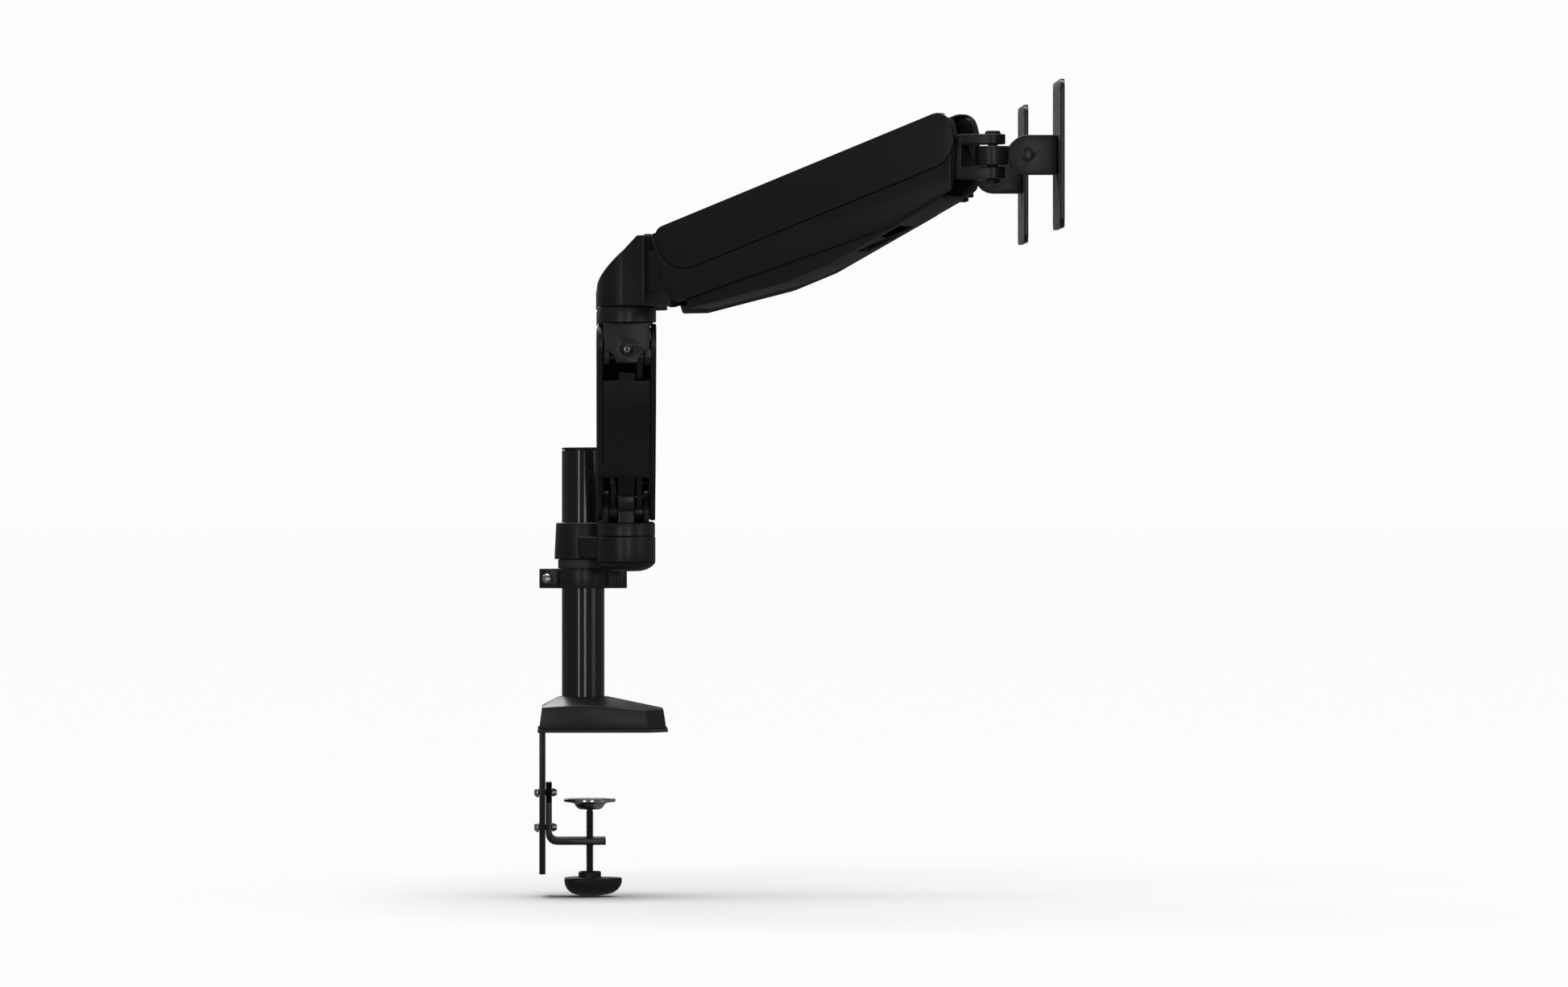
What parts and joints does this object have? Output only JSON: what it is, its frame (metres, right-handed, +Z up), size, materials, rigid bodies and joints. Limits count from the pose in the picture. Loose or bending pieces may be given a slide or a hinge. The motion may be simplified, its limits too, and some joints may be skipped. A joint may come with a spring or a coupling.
{
  "type": "monitor arm",
  "caption": "Black gas-spring monitor arm with twin two-stage arms on a pole that clamps to a desk edge, each arm ending in a tilting plate for a display.",
  "frame": {"origin": "on the pole's axis, at the underside of the base pad, which rests on the desk top", "axes": "+Z up along the pole, +X towards the user, from the clamped rear edge of the desk to the screens"},
  "size_m": [0.418, 0.7142, 0.6586],
  "materials": {
    "satin_cover": "satin black moulded shell",
    "black_plastic": "matt black moulded plastic",
    "gloss_paint": "gloss black paint on steel tube",
    "painted_steel": "semi-gloss black powder coat on steel plate",
    "cast_paint": "fine-textured black powder coat on die-cast metal",
    "zinc": "bright zinc plating",
    "nylon": "dark grey nylon",
    "foam_rubber": "soft black foam rubber"
  },
  "bodies": {
    "stand": {"base_pad": "foam_rubber", "clamp_plate": "painted_steel", "base_cover": "satin_cover", "clamp_bracket": "painted_steel", "bracket_bolt_upper": "zinc", "bracket_bolt_lower": "zinc", "bracket_nut_upper": "zinc", "bracket_nut_lower": "zinc", "pole": "gloss_paint", "pole_cap": "black_plastic", "pole_screw": "zinc"},
    "pressure_pad": {"pressure_pad": "zinc"},
    "clamp_screw": {"clamp_screw": "painted_steel", "clamp_knob": "black_plastic"},
    "stop_ring": {"stop_ring_left": "cast_paint", "stop_ring_right": "cast_paint", "stop_bolt_rear": "zinc", "stop_bolt_front": "zinc", "glide_bush": "nylon"},
    "arm_bracket": {"arm_bracket": "cast_paint"},
    "left_lower_base": {"left_lower_yoke": "cast_paint"},
    "left_lower_arm": {"left_lower_link": "cast_paint", "left_lower_cover": "black_plastic", "left_lower_cylinder": "gloss_paint"},
    "left_lower_tie_bar": {"left_lower_tie": "painted_steel"},
    "left_lower_gas_rod": {"left_lower_rod": "painted_steel"},
    "left_elbow": {"left_elbow_yoke": "cast_paint"},
    "left_upper_base": {"left_upper_yoke": "cast_paint"},
    "left_upper_arm": {"left_upper_link": "cast_paint", "left_top_cover": "satin_cover", "left_cable_cover": "black_plastic", "left_upper_cylinder": "gloss_paint"},
    "left_upper_tie_bar": {"left_upper_tie": "painted_steel"},
    "left_upper_gas_rod": {"left_upper_rod": "painted_steel"},
    "left_front": {"left_front_yoke": "cast_paint", "left_head_bolt": "painted_steel"},
    "left_head": {"left_head_block": "cast_paint"},
    "left_tilt": {"left_tilt_knuckle": "cast_paint", "left_tilt_bolt": "painted_steel"},
    "left_vesa": {"left_vesa_plate": "painted_steel"},
    "right_lower_base": {"right_lower_yoke": "cast_paint"},
    "right_lower_arm": {"right_lower_link": "cast_paint", "right_lower_cover": "black_plastic", "right_lower_cylinder": "gloss_paint"},
    "right_lower_tie_bar": {"right_lower_tie": "painted_steel"},
    "right_lower_gas_rod": {"right_lower_rod": "painted_steel"},
    "right_elbow": {"right_elbow_yoke": "cast_paint"},
    "right_upper_base": {"right_upper_yoke": "cast_paint"},
    "right_upper_arm": {"right_upper_link": "cast_paint", "right_top_cover": "satin_cover", "right_cable_cover": "black_plastic", "right_upper_cylinder": "gloss_paint"},
    "right_upper_tie_bar": {"right_upper_tie": "painted_steel"},
    "right_upper_gas_rod": {"right_upper_rod": "painted_steel"},
    "right_front": {"right_front_yoke": "cast_paint", "right_head_bolt": "painted_steel"},
    "right_head": {"right_head_block": "cast_paint"},
    "right_tilt": {"right_tilt_knuckle": "cast_paint", "right_tilt_bolt": "painted_steel"},
    "right_vesa": {"right_vesa_plate": "painted_steel"}
  },
  "joints": [
    {"name": "clamp_travel", "type": "slide", "parent": "stand", "child": "pressure_pad", "axis": [0, 0, 1], "range_m": [-0.022, 0.0215]},
    {"name": "clamp_screw_turn", "type": "hinge", "parent": "pressure_pad", "child": "clamp_screw", "pos_m": [0.0054, 0, -0.0557], "axis": [0, 0, 1], "range_deg": [-5400, 5400]},
    {"name": "stop_height", "type": "slide", "parent": "stand", "child": "stop_ring", "axis": [0, 0, 1], "range_m": [-0.085, 0.055]},
    {"name": "pole_swivel", "type": "hinge", "parent": "stop_ring", "child": "arm_bracket", "pos_m": [0, 0, 0.1412], "axis": [0, 0, 1], "range_deg": [-180, 180]},
    {"name": "left_hub_swivel", "type": "hinge", "parent": "arm_bracket", "child": "left_lower_base", "pos_m": [0.035, -0.042, 0.19], "axis": [0, 0, 1], "range_deg": [-70, 60]},
    {"name": "left_lower_lift", "type": "hinge", "parent": "left_lower_base", "child": "left_lower_arm", "pos_m": [0.035, -0.042, 0.19], "axis": [-1, 0, 0], "range_deg": [-54.5, 15.5]},
    {"name": "left_lower_tie_pivot", "type": "hinge", "parent": "left_lower_base", "child": "left_lower_tie_bar", "pos_m": [0.035, -0.04888, 0.18017], "axis": [-1, 0, 0], "range_deg": [-55, 16]},
    {"name": "left_lower_rod_slide", "type": "slide", "parent": "left_lower_arm", "child": "left_lower_gas_rod", "axis": [0, -0.4519, 0.8921], "range_m": [-0.004, 0.012]},
    {"name": "left_elbow_level", "type": "hinge", "parent": "left_lower_arm", "child": "left_elbow", "pos_m": [0.035, -0.13201, 0.31619], "axis": [-1, 0, 0], "range_deg": [-16, 55]},
    {"name": "left_elbow_swivel", "type": "hinge", "parent": "left_elbow", "child": "left_upper_base", "pos_m": [0.035, -0.13201, 0.31619], "axis": [0, 0, -1], "range_deg": [-60, 120]},
    {"name": "left_upper_lift", "type": "hinge", "parent": "left_upper_base", "child": "left_upper_arm", "pos_m": [0.08263, -0.15951, 0.38299], "axis": [-0.5, -0.866, 0], "range_deg": [-49.3, 22]},
    {"name": "left_upper_tie_pivot", "type": "hinge", "parent": "left_upper_base", "child": "left_upper_tie_bar", "pos_m": [0.08263, -0.15951, 0.36699], "axis": [-0.5, -0.866, 0], "range_deg": [-50, 23]},
    {"name": "left_upper_rod_slide", "type": "slide", "parent": "left_upper_arm", "child": "left_upper_gas_rod", "axis": [0.7816, -0.4513, 0.4307], "range_m": [-0.008, 0.014]},
    {"name": "left_front_level", "type": "hinge", "parent": "left_upper_arm", "child": "left_front", "pos_m": [0.28452, -0.27607, 0.46463], "axis": [-0.5, -0.866, 0], "range_deg": [-23, 50]},
    {"name": "left_head_swivel", "type": "hinge", "parent": "left_front", "child": "left_head", "pos_m": [0.32349, -0.29857, 0.46463], "axis": [0, 0, 1], "range_deg": [-100, 40]},
    {"name": "left_head_tilt", "type": "hinge", "parent": "left_head", "child": "left_tilt", "pos_m": [0.35049, -0.29857, 0.46463], "axis": [0, -1, 0], "range_deg": [-45, 45]},
    {"name": "left_vesa_rotate", "type": "hinge", "parent": "left_tilt", "child": "left_vesa", "pos_m": [0.35049, -0.29857, 0.46463], "axis": [1, 0, 0], "range_deg": [-90, 90]},
    {"name": "right_hub_swivel", "type": "hinge", "parent": "arm_bracket", "child": "right_lower_base", "pos_m": [0.035, 0.042, 0.19], "axis": [0, 0, -1], "range_deg": [-70, 60]},
    {"name": "right_lower_lift", "type": "hinge", "parent": "right_lower_base", "child": "right_lower_arm", "pos_m": [0.035, 0.042, 0.19], "axis": [1, 0, 0], "range_deg": [-54.5, 15.5]},
    {"name": "right_lower_tie_pivot", "type": "hinge", "parent": "right_lower_base", "child": "right_lower_tie_bar", "pos_m": [0.035, 0.04888, 0.18017], "axis": [1, 0, 0], "range_deg": [-55, 16]},
    {"name": "right_lower_rod_slide", "type": "slide", "parent": "right_lower_arm", "child": "right_lower_gas_rod", "axis": [0, 0.4519, 0.8921], "range_m": [-0.004, 0.012]},
    {"name": "right_elbow_level", "type": "hinge", "parent": "right_lower_arm", "child": "right_elbow", "pos_m": [0.035, 0.13201, 0.31619], "axis": [1, 0, 0], "range_deg": [-16, 55]},
    {"name": "right_elbow_swivel", "type": "hinge", "parent": "right_elbow", "child": "right_upper_base", "pos_m": [0.035, 0.13201, 0.31619], "axis": [0, 0, 1], "range_deg": [-60, 120]},
    {"name": "right_upper_lift", "type": "hinge", "parent": "right_upper_base", "child": "right_upper_arm", "pos_m": [0.08263, 0.15951, 0.38299], "axis": [0.5, -0.866, 0], "range_deg": [-49.3, 22]},
    {"name": "right_upper_tie_pivot", "type": "hinge", "parent": "right_upper_base", "child": "right_upper_tie_bar", "pos_m": [0.08263, 0.15951, 0.36699], "axis": [0.5, -0.866, 0], "range_deg": [-50, 23]},
    {"name": "right_upper_rod_slide", "type": "slide", "parent": "right_upper_arm", "child": "right_upper_gas_rod", "axis": [0.7816, 0.4513, 0.4307], "range_m": [-0.008, 0.014]},
    {"name": "right_front_level", "type": "hinge", "parent": "right_upper_arm", "child": "right_front", "pos_m": [0.28452, 0.27607, 0.46463], "axis": [0.5, -0.866, 0], "range_deg": [-23, 50]},
    {"name": "right_head_swivel", "type": "hinge", "parent": "right_front", "child": "right_head", "pos_m": [0.32349, 0.29857, 0.46463], "axis": [0, 0, -1], "range_deg": [-100, 40]},
    {"name": "right_head_tilt", "type": "hinge", "parent": "right_head", "child": "right_tilt", "pos_m": [0.35049, 0.29857, 0.46463], "axis": [0, -1, 0], "range_deg": [-45, 45]},
    {"name": "right_vesa_rotate", "type": "hinge", "parent": "right_tilt", "child": "right_vesa", "pos_m": [0.35049, 0.29857, 0.46463], "axis": [1, 0, 0], "range_deg": [-90, 90]}
  ],
  "couplings": [
    {"joint": "clamp_screw_turn", "follows": "clamp_travel", "rad_per_m": 4188.8},
    {"joint": "left_lower_tie_pivot", "follows": "left_lower_lift", "ratio": 1},
    {"joint": "left_elbow_level", "follows": "left_lower_lift", "ratio": -1},
    {"joint": "left_lower_rod_slide", "follows": "left_lower_lift", "m_per_rad": -0.0113},
    {"joint": "left_upper_tie_pivot", "follows": "left_upper_lift", "ratio": 1},
    {"joint": "left_front_level", "follows": "left_upper_lift", "ratio": -1},
    {"joint": "left_upper_rod_slide", "follows": "left_upper_lift", "m_per_rad": -0.01475},
    {"joint": "right_lower_tie_pivot", "follows": "right_lower_lift", "ratio": 1},
    {"joint": "right_elbow_level", "follows": "right_lower_lift", "ratio": -1},
    {"joint": "right_lower_rod_slide", "follows": "right_lower_lift", "m_per_rad": -0.0113},
    {"joint": "right_upper_tie_pivot", "follows": "right_upper_lift", "ratio": 1},
    {"joint": "right_front_level", "follows": "right_upper_lift", "ratio": -1},
    {"joint": "right_upper_rod_slide", "follows": "right_upper_lift", "m_per_rad": -0.01475}
  ]
}
